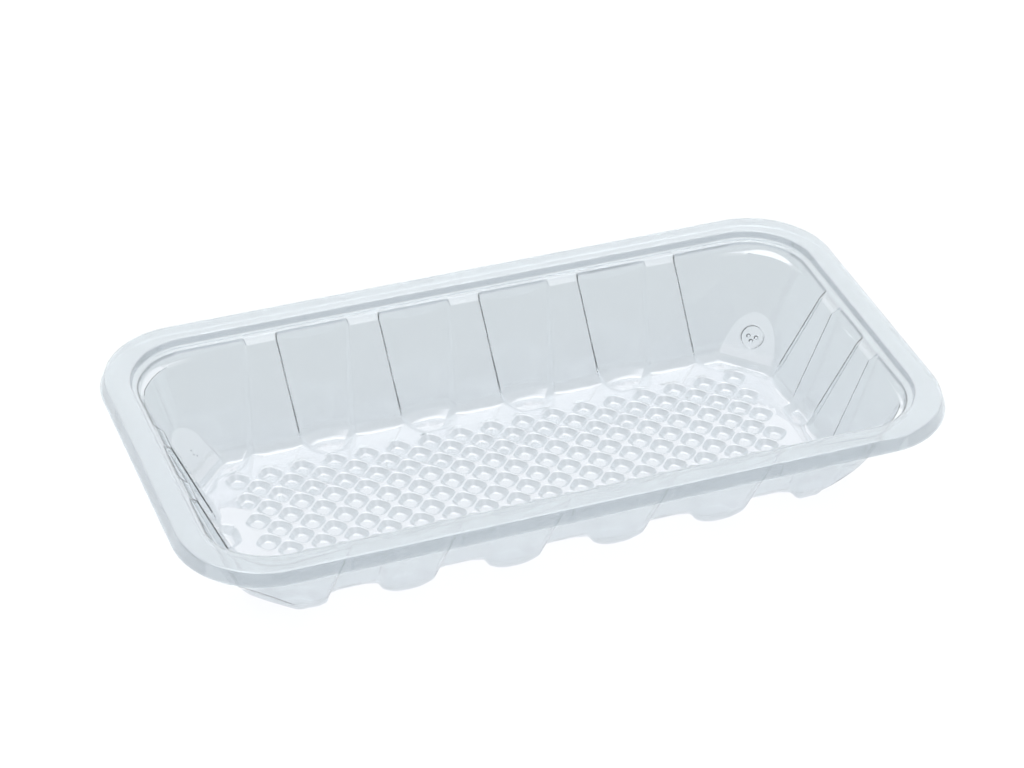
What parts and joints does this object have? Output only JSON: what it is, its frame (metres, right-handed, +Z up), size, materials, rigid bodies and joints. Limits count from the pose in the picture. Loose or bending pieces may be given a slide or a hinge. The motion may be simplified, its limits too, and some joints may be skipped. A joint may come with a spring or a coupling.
{
  "type": "meat tray",
  "caption": "Clear thermoformed food tray with a flat rim, ribbed sloping walls, pressed feet and a floor of small diamond pockets that catch juices.",
  "frame": {"origin": "on the table, under the middle of the tray", "axes": "+X along the long side, +Y across the tray, +Z up towards the open mouth"},
  "size_m": [0.2634, 0.1388, 0.041],
  "materials": {
    "clear_plastic": "clear, glossy thermoformed sheet"
  },
  "bodies": {
    "root": {"tray": "clear_plastic"}
  },
  "joints": []
}
